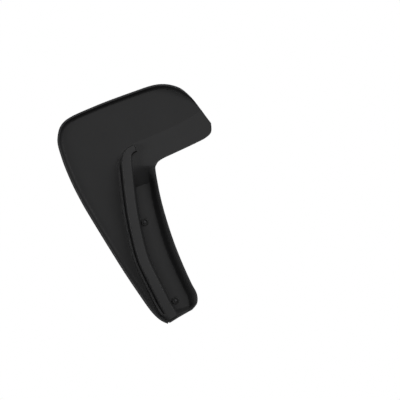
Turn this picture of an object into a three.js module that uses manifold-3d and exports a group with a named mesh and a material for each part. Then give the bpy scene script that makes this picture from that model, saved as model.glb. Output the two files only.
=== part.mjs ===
// Front mud flap that hooks over a fender lip and is held by two push rivets.
//
// Frame, in millimetres: +Z is up, +X points outboard (away from the vehicle's middle),
// +Y points rearward, so the face that looks at the wheel faces -Y. The origin lies on the
// arm's flat rear face, midway between the two rivets.
//
// The moulding is one skin. A band runs from the tip of the arm down to the inboard toe, and a
// cross-section of the skin is laid across it at every place u along the band. u counts the
// rows of STATIONS: 0 at the tip, LAST at the toe.

import * as THREE from 'three';
import { mergeVertices } from 'three/addons/utils/BufferGeometryUtils.js';
import Module from 'manifold-3d';

const wasm = await Module();
wasm.setup();

// ---------------------------------------------------------------- driving dimensions

const WALL = 3;                 // thickness of the skin

// Each row: inner edge, middle of the ridge, outer edge, as x and z.
const STATIONS = [
  [-27.5, 113.4, 10.5, 119.2, 27.9, 122.2],
  [-41.6, 104, 14, 102.5, 40.6, 107.3],
  [-47.3, 86.1, 18.3, 83, 51, 84.2],
  [-44.3, 61.9, 21.3, 56, 61.4, 46.1],
  [-41.5, 25.9, 25, 24, 71.6, 5.2],
  [-39.8, -20, 28.2, -14, 80.9, -36.8],
  [-40.9, -68, 25.2, -55, 89.4, -77.8],
  [-44.2, -112, 18.2, -104, 97.9, -119.8],
  [-49.3, -147.8, 8.8, -149, 105.9, -162.8],
  [-55.2, -177.6, -0.5, -187, 111.9, -212],
  [-59.5, -184.4, -7.5, -213, 113.3, -262],
  [-66, -189.3, -16, -226, 107.8, -301.2],
  [-77.2, -192, -31, -230.5, 82.6, -328.9],
  [-100.2, -194.1, -60, -232, 22.1, -336.2],
  [-125.1, -196.2, -98, -234, -58, -337.4],
  [-149.1, -198.5, -130, -236.5, -116.2, -334.6],
  [-170.2, -201.4, -153, -240, -151.8, -316.9],
  [-184.8, -208.4, -170, -243.4, -170.4, -289.7],
  [-191.1, -225.3, -184.6, -247.4, -181.8, -256.8],
];
const LAST = STATIONS.length - 1;

const LIP_WIDTH = 0.06;         // inner lip, as a share of the way from inner edge to ridge
const LIP_FOOT = 0.1;
// The channel's sloping wall and floor: share of the way from inner edge to ridge, and depth.
const CHANNEL_FALL = [[0.2, 0.3], [0.32, 0.85], [0.4, 1], [0.7, 1]];
const LIP_Y = -15;              // front of the inner lip beside the channel
const LIP_STEP = 1.8;           // height of the inner lip
const NOTCH_EDGE_Y = -27;       // front of the flange at the notch
const CREASE_Y = -23;           // front of the flange where it meets the blade
const FIELD_Y = -23;            // front of the blade
const TIP_STEP = 0.42;          // the channel ends in a step at the tip, between these places
const TIP_STEP_FOOT = 0.95;
const RAMP_FOOT = 8.25;         // and in a crowned ramp at the flange
const RAMP_TOP = 9.6;
const TIP_LIP = 0.24;           // a lip closes the arm's end, from the tip as far as this place
const TIP_LIP_Y = -25.5;
const TIP_LIP_RISE = [0.05, 0.6];           // it rises over these shares of the arm's width
const TIP_WALL = 2.4;           // least thickness under that lip

const RIDGE_HALF = 10.5;        // half the ridge's width at its foot
const RIDGE_DRAFT = 1.2;        // the ridge's sides lean in by this much
const HOOK_TAPER = 2.8;         // the hooked end is narrower by this much on each side
const RIDGE_TIP_HALF = 8;
const RIDGE_TOP_Y = -41;
const RIDGE_TIP_Y = -27;        // top of the ridge at the tip of the arm
const RIDGE_HOOK_Y = -34;       // top of the ridge at its hooked end
const RIDGE_CLIMB = [-1, 6];    // it climbs to its full height over this stretch
const RIDGE_WIDE = 1.4;         // and its full width from here
const HOOK_FALL = [8, 12];      // towards the hook it falls and narrows over these stretches
const HOOK_NARROWS = [9.5, 12];
const HOOK_END = 12.08;         // where the ridge's end face stands, as u
const HOOK_FACE = 0.09;         // how far that face leans, as u
const SLOT_STOP = 11.84;        // the slot behind the ridge closes between these places
const SLOT_CLOSED = 11.96;

const GAP = 2.6;                // from the ridge's edge to the bottom of the gap beside it
const GAP_RISE = 1.5;
const RIB_START = 4.6;
const RIB_STOP = 7.8;
const RIB_FOOT = 9.8;
const RIB_RISE = 5.5;
const RIB_CLOSED = 0.25;        // the rib's zone shrinks to this share beyond the hook
const SHOULDER = [0.9, 1.5];    // nearer the tip the ridge slopes straight down to the blade
const RIB_RUN = [0.3, 1.1, 9, 10.4];        // the rib rises over the first stretch and falls
const RIB_SPREAD = [-0.6, 1, 9.4, 11.6];    // over the second; so does the width of its zone
const WING_RUN = [0, 0.6, 10, 11.6];        // and the rounded edge beside the slot
const SLOT_CORNER_Y = -26;      // rear corner of the slot's outer wall
const WING_EDGE_Y = -17.5;      // rear of the rounded edge beside the slot
const BEAD_RISE = 1.4;          // that edge runs on along the crease as a low bead
const BEAD_RUN = [10, 11.6, 15, LAST];

const BLADE_SHARES = [0.15, 0.35, 0.6, 0.85];   // where the blade's corners lie, crease to rim

const RIM_FOOT = 9;             // width of the rim's sloping inner wall and lip
const RIM_LIP = 3.6;
const RIM_RISE = 9;
const RIM_AT_TIP = 0.65;        // the rim is this much of its size at the tip
const RIM_FADE = 16;            // and fades out from here to the toe
const REAR_STEP = 1.2;          // low step on the rear, beside the blade's lower edge
const STEP_FLAT = 0.4;
const STEP_RUN = [10.5, 12, 15.5, 17];

const RIVETS = { upper: [-2, 85], lower: [2, -85] };
const HOLE_DIAMETER = 11.4;
const HEAD_DIAMETER = 15;
const HEAD_THICK = 2.4;
const RECESS_DIAMETER = 10.4;
const RECESS_DRAFT = 0.5;
const RECESS_DEPTH = 4;
const SHANK_DIAMETER = 10.8;
const BARB_DIAMETER = 12.2;
const SHANK_END = 13;           // how far the legs reach behind the rear face
const BORE_DIAMETER = 4.2;
const PIN_DIAMETER = 3.6;
const PIN_HEAD_DIAMETER = 4.8;
const LEG_SLIT = 1.2;
const PIN_SUNK = 0.6;           // the pin's head lies this far below the rivet's face
const CLEARANCE = 0.3;          // gap kept between pieces that touch

const SEAL_START = 2.9;         // ends of the seal along the band, as u
const SEAL_STOP = 11.6;
const SEAL_FULL = 4.6;          // it rises to its full height by this place
const SEAL_LOW_RISE = 4;        // its height at the start
const SEAL_WIDTH = 4.6;
const SEAL_INSET = 7.5;         // from the ridge's channel side to the seal's middle
const SEAL_TOP_Y = -22;

// ---------------------------------------------------------------- the three rails

const { clamp, lerp, smoothstep } = THREE.MathUtils;

function rail(column) {
  const points = STATIONS.map((row) => new THREE.Vector2(row[column], row[column + 1]));
  return new THREE.SplineCurve(points);
}

const INNER = rail(0);
const SPINE = rail(2);
const OUTER = rail(4);

// A point beside a rail: `side` millimetres to the left of the way the rail runs.
function beside(curve, u, side) {
  const along = curve.getTangent(u / LAST);
  return curve.getPoint(u / LAST).add(new THREE.Vector2(-along.y, along.x).multiplyScalar(side));
}

function between(a, b, share) {
  return a.clone().lerp(b, share);
}

// Rises from 0 to 1 over the first stretch, and falls back to 0 over the second.
function run(u, riseFrom, riseTo, fallFrom, fallTo) {
  return smoothstep(u, riseFrom, riseTo) * (1 - smoothstep(u, fallFrom, fallTo));
}

// Front of the ridge's top.
function crestAt(u) {
  const arm = lerp(RIDGE_TIP_Y, RIDGE_TOP_Y, smoothstep(u, ...RIDGE_CLIMB));
  return lerp(arm, RIDGE_HOOK_Y, smoothstep(u, ...HOOK_FALL));
}

// Half the ridge's width at its foot.
function halfAt(u) {
  const arm = lerp(RIDGE_TIP_HALF, RIDGE_HALF, smoothstep(u, 0, RIDGE_WIDE));
  return arm - HOOK_TAPER * smoothstep(u, ...HOOK_NARROWS);
}

// How far the channel is sunk: 0 where the flange runs flat, 1 where the floor is at its depth.
function sunkAt(u) {
  const ramp = clamp((RAMP_TOP - u) / (RAMP_TOP - RAMP_FOOT), 0, 1);
  return smoothstep(u, TIP_STEP, TIP_STEP_FOOT) * ramp ** 2;
}

// Front of the lip that closes the arm's end, at a point between the two edge rails.
function endLipY(point) {
  const fromInner = point.distanceTo(INNER.getPoint(0));
  const share = fromInner / (fromInner + point.distanceTo(OUTER.getPoint(0)));
  return lerp(LIP_Y, TIP_LIP_Y, smoothstep(share, ...TIP_LIP_RISE));
}

// ---------------------------------------------------------------- one cross-section of the skin

// Returns two rows of points, front and rear, from the inner edge to the outer edge.
function section(u) {
  const channel = sunkAt(u);
  const tip = 1 - smoothstep(u, TIP_LIP, TIP_STEP);
  const ridge = 1 - smoothstep(u, HOOK_END - HOOK_FACE, HOOK_END);
  const slot = 1 - smoothstep(u, SLOT_STOP, SLOT_CLOSED);
  const rib = run(u, ...RIB_RUN);
  const spread = lerp(RIB_CLOSED, 1, run(u, ...RIB_SPREAD));
  const rim = lerp(RIM_AT_TIP, 1, smoothstep(u, 0, 2)) * (1 - smoothstep(u, RIM_FADE, LAST));
  const half = halfAt(u);
  const crest = crestAt(u);
  const lipY = lerp(LIP_Y, NOTCH_EDGE_Y, smoothstep(u, 6.5, 10));

  const inner = INNER.getPoint(u / LAST);
  const foot = beside(SPINE, u, -half);
  const crease = beside(SPINE, u, half + RIB_FOOT * spread);
  const rimFoot = beside(OUTER, u, -RIM_FOOT * rim);
  const outer = OUTER.getPoint(u / LAST);

  // The flange's own front, which takes over where channel, ridge and rib have run out.
  const flangeY = (point) => {
    const share = point.distanceTo(inner) / (point.distanceTo(inner) + point.distanceTo(crease));
    return lerp(lipY, CREASE_Y, share);
  };
  const front = [];
  const rear = [];
  const lay = (point, openY, rearPoint, rearY) => {
    const frontY = lerp(openY, endLipY(point), tip);
    front.push([point.x, frontY, point.y]);
    rear.push([rearPoint.x, lerp(rearY, Math.max(rearY, frontY + TIP_WALL), tip), rearPoint.y]);
  };

  // Inner lip, sloping wall and floor of the channel.
  lay(inner, lipY, inner, lipY + WALL + 0.5);
  const lip = between(inner, foot, LIP_WIDTH);
  lay(lip, lipY, lip, lipY + WALL + 0.8);
  const lipFoot = between(inner, foot, LIP_FOOT);
  lay(lipFoot, lerp(flangeY(lipFoot), lipY + LIP_STEP, channel), lipFoot, lipY + WALL + 1);
  for (const [share, depth] of CHANNEL_FALL) {
    const point = between(inner, foot, share);
    const floorY = lerp(lipY + LIP_STEP, -WALL, depth);
    const frontY = lerp(flangeY(point), floorY, channel);
    lay(point, frontY, point, frontY + WALL);
  }

  // The ridge and, behind it, the slot.
  const flangeAt = (side) => flangeY(beside(SPINE, u, side));
  const ridgeFace = (side, frontY, rearSide, rearY, rise, cut) => {
    const base = flangeAt(side);
    const rearAt = lerp(side, rearSide, cut);
    lay(beside(SPINE, u, side), lerp(base, frontY, rise),
      beside(SPINE, u, rearAt), lerp(base + WALL, rearY, cut));
  };
  const top = half - RIDGE_DRAFT;
  ridgeFace(-half, -WALL, -half + WALL, 0, channel, channel);
  ridgeFace(-top, crest, -top + WALL, crest + WALL, ridge, slot);
  ridgeFace(0, crest - 0.6, 0, crest + WALL, ridge, slot);
  ridgeFace(top, crest, top - WALL, crest + WALL, ridge, slot);

  // The gap and the thin rib beside the ridge, with the rounded edge of the slot behind them.
  const shoulder = smoothstep(u, ...SHOULDER);
  const wing = run(u, ...WING_RUN);
  const bead = BEAD_RISE * run(u, ...BEAD_RUN);
  const ribFace = (width, rise, rearWidth, rearY, swell) => {
    const slopeY = lerp(crest, CREASE_Y, width / RIB_FOOT);
    const frontY = lerp(slopeY, CREASE_Y - rise * rib, shoulder);
    const rearSide = half + lerp(width, rearWidth, wing) * spread;
    lay(beside(SPINE, u, half + width * spread), frontY,
      beside(SPINE, u, rearSide), lerp(CREASE_Y + WALL + bead * swell, rearY, wing));
  };
  ribFace(GAP, GAP_RISE, -2, Math.max(SLOT_CORNER_Y, crest + WALL), 0);
  ribFace(RIB_START, RIB_RISE, 1, WING_EDGE_Y - 1, 1);
  ribFace(RIB_STOP, RIB_RISE, 4, WING_EDGE_Y, 1);
  ribFace(RIB_FOOT, 0, RIB_FOOT, WING_EDGE_Y - 1.8, 0);

  // The blade, then its rim.
  for (const share of BLADE_SHARES) {
    const point = between(crease, rimFoot, share);
    lay(point, FIELD_Y, point, FIELD_Y + WALL);
  }
  const rimY = FIELD_Y - RIM_RISE * rim;
  lay(rimFoot, FIELD_Y, rimFoot, FIELD_Y + WALL);
  const step = lerp(STEP_FLAT, REAR_STEP, run(u, ...STEP_RUN));
  const wallPoint = beside(OUTER, u, -(RIM_LIP + 1.6) * rim);
  lay(wallPoint, lerp(FIELD_Y, rimY, 0.55), beside(OUTER, u, -(RIM_LIP + 2.2) * rim), FIELD_Y + WALL);
  const lipPoint = beside(OUTER, u, -RIM_LIP * rim);
  lay(lipPoint, rimY, beside(OUTER, u, -(RIM_LIP + 1.4) * rim), FIELD_Y + WALL - step);
  lay(outer, rimY, outer, FIELD_Y + 0.6);
  return { front, rear };
}

// ---------------------------------------------------------------- meshing

// Places along the band: every stretch has its own number of steps.
function places(stretches) {
  const list = [stretches[0][0]];
  for (const [from, to, steps] of stretches) {
    for (let i = 1; i <= steps; i += 1) {
      list.push(lerp(from, to, i / steps));
    }
  }
  return list;
}

// Joins two-sided sections into one closed shell, with faces out.
function shell(sections) {
  const across = sections[0].front.length;
  const geometry = new THREE.BoxGeometry(1, 1, 1, sections.length - 1, across - 1, 1);
  const position = geometry.attributes.position;
  for (let i = 0; i < position.count; i += 1) {
    const row = Math.round((position.getX(i) + 0.5) * (sections.length - 1));
    const column = Math.round((position.getY(i) + 0.5) * (across - 1));
    const side = position.getZ(i) > 0 ? sections[row].front : sections[row].rear;
    position.setXYZ(i, ...side[column]);
  }
  geometry.deleteAttribute('normal');
  geometry.deleteAttribute('uv');
  return mergeVertices(geometry, 1e-4);
}

function solid(geometry) {
  const bare = geometry.clone();
  bare.deleteAttribute('normal');
  bare.deleteAttribute('uv');
  const merged = mergeVertices(bare, 1e-4);
  return new wasm.Manifold(new wasm.Mesh({
    numProp: 3,
    vertProperties: Float32Array.from(merged.attributes.position.array),
    triVerts: Uint32Array.from(merged.index.array),
  }));
}

function geometryOf(manifold) {
  const mesh = manifold.getMesh();
  const geometry = new THREE.BufferGeometry();
  geometry.setAttribute('position', new THREE.BufferAttribute(mesh.vertProperties, 3));
  geometry.setIndex(new THREE.BufferAttribute(mesh.triVerts, 1));
  geometry.computeVertexNormals();
  return geometry;
}

// ---------------------------------------------------------------- the pieces

function flapMoulding() {
  const stretches = [
    [0, TIP_LIP, 1], [TIP_LIP, TIP_STEP, 2], [TIP_STEP, TIP_STEP_FOOT, 5], [TIP_STEP_FOOT, 3, 8],
    [3, 8, 16], [8, 11, 15], [11, SLOT_STOP, 5], [SLOT_STOP, SLOT_CLOSED, 1],
    [SLOT_CLOSED, HOOK_END, 2], [HOOK_END, LAST, 14],
  ];
  const skin = shell(places(stretches).map(section));
  let moulding = solid(skin);
  for (const [x, z] of Object.values(RIVETS)) {
    const drill = new THREE.CylinderGeometry(HOLE_DIAMETER / 2, HOLE_DIAMETER / 2, 12, 32);
    drill.translate(x, 0, z);
    moulding = moulding.subtract(solid(drill));
  }
  return geometryOf(moulding);
}

// A strip standing on the slot's bottom, with a rounded top edge.
function edgeSeal() {
  const cut = (u) => {
    const footY = crestAt(u) + WALL + CLEARANCE;
    const topY = lerp(footY + SEAL_LOW_RISE, SEAL_TOP_Y, smoothstep(u, SEAL_START, SEAL_FULL));
    const middle = SEAL_INSET - halfAt(u);
    const flank = (way) => [[1, footY], [1, topY - 3], [0.78, topY - 0.9], [0.3, topY]]
      .map(([share, y]) => {
        const point = beside(SPINE, u, middle + way * share * SEAL_WIDTH / 2);
        return [point.x, y, point.y];
      });
    return { front: flank(1), rear: flank(-1) };
  };
  return shell(places([[SEAL_START, 8, 14], [8, SEAL_STOP, 16]]).map(cut));
}

// A turned solid about the rivet's own axis, which runs along Y. Each corner is [radius, y].
function turned(corners, sides) {
  return solid(new THREE.LatheGeometry(corners.map(([r, y]) => new THREE.Vector2(r, y)), sides));
}

function rivetBody() {
  const face = -WALL - CLEARANCE;
  const bore = BORE_DIAMETER / 2;
  const head = HEAD_DIAMETER / 2;
  const shank = SHANK_DIAMETER / 2;
  const recess = RECESS_DIAMETER / 2;
  const front = face - HEAD_THICK;
  const floor = front + RECESS_DEPTH;
  let body = turned([
    [bore, SHANK_END], [bore, floor], [recess - RECESS_DRAFT, floor], [recess, front],
    [head - 1.1, front], [head, front + 1.4], [head, face], [shank, face], [shank, 3],
    [BARB_DIAMETER / 2, 6], [shank - 1.2, SHANK_END], [bore, SHANK_END],
  ], 32);
  for (const turn of [Math.PI / 4, -Math.PI / 4]) {
    const slit = new THREE.BoxGeometry(LEG_SLIT, SHANK_END, 2 * BARB_DIAMETER);
    slit.translate(0, SHANK_END / 2 + 1.5, 0);
    slit.rotateY(turn);
    body = body.subtract(solid(slit));
  }
  return geometryOf(body);
}

function rivetPin() {
  const face = -WALL - CLEARANCE - HEAD_THICK;
  const seat = face + RECESS_DEPTH - CLEARANCE;
  const front = face + PIN_SUNK;
  const head = PIN_HEAD_DIAMETER / 2;
  const shaft = PIN_DIAMETER / 2;
  return geometryOf(turned([
    [0, SHANK_END + 1], [shaft - 0.9, SHANK_END + 1], [shaft, SHANK_END - 1.5], [shaft, seat],
    [head, seat], [head, front + 0.7], [head - 0.8, front + 0.1], [0, front],
  ].reverse(), 28));
}

// ---------------------------------------------------------------- assembly

const plastic = { color: 0x2a2a2b, roughness: 0.62, metalness: 0 };
const rubber = { color: 0x1c1c1d, roughness: 0.85, metalness: 0 };
const nylon = { color: 0x1f1f20, roughness: 0.5, metalness: 0 };
const pinNylon = { color: 0x3a3a3b, roughness: 0.42, metalness: 0 };

const group = new THREE.Group();

function addPiece(name, geometry, finish, parent = group) {
  const mesh = new THREE.Mesh(geometry, new THREE.MeshStandardMaterial(finish));
  mesh.name = name;
  parent.add(mesh);
}

addPiece('flap_moulding', flapMoulding(), plastic);
addPiece('fender_edge_seal', edgeSeal(), rubber);
for (const [place, [x, z]] of Object.entries(RIVETS)) {
  const rivet = new THREE.Group();
  rivet.position.set(x, 0, z);
  addPiece(`${place}_rivet_body`, rivetBody(), nylon, rivet);
  addPiece(`${place}_rivet_pin`, rivetPin(), pinNylon, rivet);
  group.add(rivet);
}

export default group;
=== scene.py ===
"""Front mud flap in black moulded plastic, with its slot seal and two push rivets.

Everything is built in the CAD model's own frame: +X outboard, +Y rearward, +Z up, in metres. The
sizes below are in millimetres and are brought to metres where a mesh is made. The flap is held in
the air, as it hangs when it is bolted on, inside a bright white surround.
"""

import logging
import math
from collections.abc import Callable
from dataclasses import dataclass, field
from enum import Enum

import bmesh
import bpy
from mathutils import Matrix, Vector


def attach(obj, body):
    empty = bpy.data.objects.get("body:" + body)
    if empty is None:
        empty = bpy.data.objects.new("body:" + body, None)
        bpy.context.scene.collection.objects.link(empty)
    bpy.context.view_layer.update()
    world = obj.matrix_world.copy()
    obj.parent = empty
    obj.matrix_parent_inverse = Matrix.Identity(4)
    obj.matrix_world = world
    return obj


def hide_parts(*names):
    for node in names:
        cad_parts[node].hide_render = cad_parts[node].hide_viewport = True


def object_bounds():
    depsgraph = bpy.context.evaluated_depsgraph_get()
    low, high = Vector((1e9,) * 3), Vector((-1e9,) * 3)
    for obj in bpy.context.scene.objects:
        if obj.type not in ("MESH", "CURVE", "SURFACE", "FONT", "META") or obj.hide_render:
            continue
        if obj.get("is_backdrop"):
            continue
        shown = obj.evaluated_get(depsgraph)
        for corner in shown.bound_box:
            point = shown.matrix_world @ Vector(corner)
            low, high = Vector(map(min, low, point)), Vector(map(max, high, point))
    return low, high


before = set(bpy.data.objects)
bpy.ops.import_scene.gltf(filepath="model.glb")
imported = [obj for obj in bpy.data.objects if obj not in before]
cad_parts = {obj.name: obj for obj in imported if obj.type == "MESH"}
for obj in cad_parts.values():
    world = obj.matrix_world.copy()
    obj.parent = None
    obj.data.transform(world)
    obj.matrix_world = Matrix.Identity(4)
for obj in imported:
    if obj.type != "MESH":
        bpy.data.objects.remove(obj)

log = logging.getLogger("mud_flap")
MM = 0.001
WELD = 1e-6            # points nearer than this are one, in metres
SIDE_SHARE = 0.46      # a rounding takes at most this share of the side that it eats into
NOISE_MIDDLE = 0.5     # what a noise texture swings about


# ------------------------------------------------------------------------------ small maths


def lerp(start: float, end: float, share: float) -> float:
    """Return the value at `share` of the way from `start` to `end`."""
    return start + (end - start) * share


def smoothstep(value: float, low: float, high: float) -> float:
    """Return a smooth rise from 0 at `low` to 1 at `high`."""
    share = min(max((value - low) / (high - low), 0.0), 1.0)
    return share * share * (3 - 2 * share)


def run(value: float, rise_from: float, rise_to: float, fall_from: float, fall_to: float) -> float:
    """Return a plateau: a smooth rise over the first stretch and a smooth fall over the second."""
    return smoothstep(value, rise_from, rise_to) * (1 - smoothstep(value, fall_from, fall_to))


def stretches(marks: list[tuple[float, int]]) -> list[float]:
    """Work out places along the band.

    Args:
        marks: (place, steps) pairs; the steps lead to that place from the one before it.

    Returns:
        Every place, first and last included.
    """
    places = [marks[0][0]]
    for (start, _), (end, steps) in zip(marks, marks[1:]):
        places += [lerp(start, end, step / steps) for step in range(1, steps + 1)]
    return places


# ------------------------------------------------------------------------------ node trees


class Value:
    """One output of a node, with arithmetic that adds Math nodes to its tree."""

    def __init__(self, graph: "NodeGraph", socket: bpy.types.NodeSocket) -> None:
        """Wrap one output socket of `graph`."""
        self.graph = graph
        self.socket = socket

    def __add__(self, other: "Value | float") -> "Value":
        """Return self + other."""
        return self.graph.maths("ADD", self, other)

    def __radd__(self, other: float) -> "Value":
        """Return other + self."""
        return self.graph.maths("ADD", other, self)

    def __sub__(self, other: "Value | float") -> "Value":
        """Return self - other."""
        return self.graph.maths("SUBTRACT", self, other)

    def __rsub__(self, other: float) -> "Value":
        """Return other - self."""
        return self.graph.maths("SUBTRACT", other, self)

    def __mul__(self, other: "Value | float") -> "Value":
        """Return self * other."""
        return self.graph.maths("MULTIPLY", self, other)

    def __rmul__(self, other: float) -> "Value":
        """Return other * self."""
        return self.graph.maths("MULTIPLY", other, self)


class NodeGraph:
    """A node tree while it is being made."""

    def __init__(self, tree: bpy.types.NodeTree) -> None:
        """Start adding nodes to `tree`."""
        self.tree = tree

    def node(
        self,
        kind: str,
        settings: dict[str, object] | None = None,
        inputs: dict[object, object] | None = None,
        output: object = 0,
    ) -> Value:
        """Add one node.

        Args:
            kind: the node's type.
            settings: attributes, which are set first.
            inputs: socket name or number to a Value, which is linked, or a plain value.
            output: name or number of the output to return.

        Returns:
            The chosen output.
        """
        made = self.tree.nodes.new(kind)
        for key, value in (settings or {}).items():
            setattr(made, key, value)
        for key, value in (inputs or {}).items():
            if isinstance(value, Value):
                self.tree.links.new(value.socket, made.inputs[key])
            else:
                made.inputs[key].default_value = value
        return Value(self, made.outputs[output])

    def end(self, kind: str, last: Value) -> None:
        """Add the tree's output node, of type `kind`, and link `last` to it."""
        out = self.tree.nodes.new(kind)
        self.tree.links.new(last.socket, out.inputs[0])

    def maths(self, operation: str, *values: Value | float) -> Value:
        """Return the result of a Math node fed with `values` in order."""
        return self.node("ShaderNodeMath", {"operation": operation}, dict(enumerate(values)))

    def vector(self, operation: str, *values: Value) -> Value:
        """Return the result of a Vector Math node fed with `values` in order."""
        return self.node("ShaderNodeVectorMath", {"operation": operation}, dict(enumerate(values)))

    def scaled(self, vector: Value, by: Value) -> Value:
        """Return `vector` times the number `by`."""
        return self.node("ShaderNodeVectorMath", {"operation": "SCALE"}, {0: vector, "Scale": by})


# ------------------------------------------------------------------------------ finishes


class ShaderGraph(NodeGraph):
    """A material's node tree while it is being made."""

    def __init__(self, name: str) -> None:
        """Start an empty material called `name`."""
        self.material = bpy.data.materials.new(name)
        self.material.use_nodes = True
        super().__init__(self.material.node_tree)
        self.tree.nodes.clear()

    def place(self) -> Value:
        """Return the Object coordinates."""
        return self.node("ShaderNodeTexCoord", output="Object")

    def attribute(self, name: str) -> Value:
        """Return the mesh's own attribute called `name`."""
        return self.node("ShaderNodeAttribute", {"attribute_name": name}, None, "Fac")

    def noise(self, scale: float, detail: float) -> Value:
        """Return 3-D noise over the object, `scale` features to the metre."""
        inputs = {"Vector": self.place(), "Scale": scale, "Detail": detail}
        return self.node("ShaderNodeTexNoise", {"noise_dimensions": "3D"}, inputs, "Fac")

    def tint(self, share: Value, dark: tuple[float, ...], light: tuple[float, ...]) -> Value:
        """Return a colour mixed by a Mix node's colour sockets, which go by number.

        Args:
            share: 0 for the dark colour, 1 for the light one.
            dark: red, green and blue.
            light: red, green and blue.

        Returns:
            The mixed colour.
        """
        settings = {"data_type": "RGBA", "clamp_factor": True}
        inputs = {"Factor": share, 6: (*dark, 1.0), 7: (*light, 1.0)}
        return self.node("ShaderNodeMix", settings, inputs, 2)

    def bump(self, height: Value, distance: float, strength: float) -> Value:
        """Return the surface's normal, tilted by `height` times `distance` in metres."""
        inputs = {"Strength": strength, "Distance": distance, "Height": height}
        return self.node("ShaderNodeBump", None, inputs, "Normal")

    def finish(self, surface: dict[str, object]) -> bpy.types.Material:
        """Close the tree with a Principled surface.

        Args:
            surface: socket name to a Value or a plain value.

        Returns:
            The finished material.
        """
        shader = self.node("ShaderNodeBsdfPrincipled", None, surface, "BSDF")
        self.end("ShaderNodeOutputMaterial", shader)
        return self.material


@dataclass(frozen=True)
class GrainedPlastic:
    """Mould-textured plastic: fine pebble grain, faint mottling, smoother on rubbed edges.

    The mesh's `tone` is painted light and shade, lighter where light falls and darker in shade; its
    `edge` says how rubbed it is, lightened as wear and as a painted highlight.
    """

    name: str
    dark: tuple[float, float, float]
    light: tuple[float, float, float]
    roughness: float
    rubbed_roughness: float
    grain_scale: float               # pebbles to the metre
    grain_height: float              # metres
    wear_and_highlight_gain: float                 # how much lighter a rubbed edge is: partly wear, partly a painted highlight
    specular: float
    mottle: float = 0.3
    cloud_scale: float = 14.0        # broad clouds of the mottling, features to the metre
    cloud_share: float = 0.6
    flow_scale: float = 90.0         # finer flow marks
    gloss_swing: float = 0.12
    pebble_share: float = 0.7        # of the grain's height; the rest is finer grit
    grit_ratio: float = 2.4          # how much finer the grit is than the pebbles

    def material(self) -> bpy.types.Material:
        """Make the material.

        Returns:
            The finished material.
        """
        graph = ShaderGraph(self.name)
        rubbed = graph.attribute("edge")
        cloud = graph.noise(self.cloud_scale, 3.0)
        flow = graph.noise(self.flow_scale, 2.0)
        mottle = cloud * self.cloud_share + flow * (1 - self.cloud_share) - NOISE_MIDDLE
        # painted light and shade from the tone attribute, random mottling, and rubbed edges lightened as
        # wear and as a painted highlight
        share = graph.attribute("tone") + mottle * self.mottle + rubbed * self.wear_and_highlight_gain
        pebbles = graph.node(
            "ShaderNodeTexVoronoi",
            {"voronoi_dimensions": "3D", "feature": "SMOOTH_F1"},
            {"Vector": graph.place(), "Scale": self.grain_scale, "Smoothness": 0.6},
            "Distance",
        )
        grit = graph.noise(self.grain_scale * self.grit_ratio, 2.0)
        height = pebbles * self.pebble_share + grit * (1 - self.pebble_share)
        gloss = self.roughness + (flow - NOISE_MIDDLE) * self.gloss_swing
        return graph.finish({
            "Base Color": graph.tint(share, self.dark, self.light),
            "Roughness": gloss - rubbed * (self.roughness - self.rubbed_roughness),
            "Specular IOR Level": self.specular,
            "Normal": graph.bump(height, self.grain_height, 0.6),
        })


@dataclass(frozen=True)
class ExtrudedRubber:
    """Matt black rubber with fine lines along its length and a faint bloom."""

    name: str
    dark: tuple[float, float, float]
    light: tuple[float, float, float]
    roughness: float
    bloom_scale: float = 45.0        # features to the metre
    gloss_swing: float = 0.14
    line_scale: tuple[float, float, float] = (1400.0, 1400.0, 25.0)    # close across, long along z
    line_height: float = 0.00006     # metres

    def material(self) -> bpy.types.Material:
        """Make the material.

        Returns:
            The finished material.
        """
        graph = ShaderGraph(self.name)
        bloom = graph.noise(self.bloom_scale, 4.0)
        mapping = {"Vector": graph.place(), "Scale": self.line_scale}
        drawn_out = graph.node("ShaderNodeMapping", None, mapping, "Vector")
        lines = graph.node(
            "ShaderNodeTexNoise", {"noise_dimensions": "3D"}, {"Vector": drawn_out, "Scale": 1.0}, "Fac")
        return graph.finish({
            "Base Color": graph.tint(bloom, self.dark, self.light),
            "Roughness": self.roughness + (bloom - NOISE_MIDDLE) * self.gloss_swing,
            "Normal": graph.bump(lines, self.line_height, 0.4),
        })


class Finish(Enum):
    """The finishes, one for each of the record's material slots."""

    MOULDED = GrainedPlastic(
        "grained_black_plastic", (0.012, 0.012, 0.0125), (0.046, 0.046, 0.047),
        roughness=0.66, rubbed_roughness=0.5, grain_scale=900.0, grain_height=0.00008, wear_and_highlight_gain=0.2,
        specular=0.35)
    SEAL = ExtrudedRubber("seal_rubber", (0.011, 0.011, 0.011), (0.024, 0.024, 0.025), 0.78)
    # Its near-black dark colour is the painted shade in the recess.
    RIVET = GrainedPlastic(
        "rivet_nylon", (0.0015, 0.0015, 0.0015), (0.062, 0.062, 0.064),
        roughness=0.5, rubbed_roughness=0.4, grain_scale=2600.0, grain_height=0.00002, wear_and_highlight_gain=0.3,
        specular=0.1)
    PIN = GrainedPlastic(
        "pin_nylon", (0.012, 0.012, 0.0125), (0.1, 0.1, 0.104),
        roughness=0.45, rubbed_roughness=0.36, grain_scale=2600.0, grain_height=0.00002, wear_and_highlight_gain=0.3,
        specular=0.35)

    def material(self) -> bpy.types.Material:
        """Return this finish's material, made once."""
        found = bpy.data.materials.get(self.value.name)
        return found or self.value.material()


# ------------------------------------------------------------------------------ geometry trees


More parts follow.
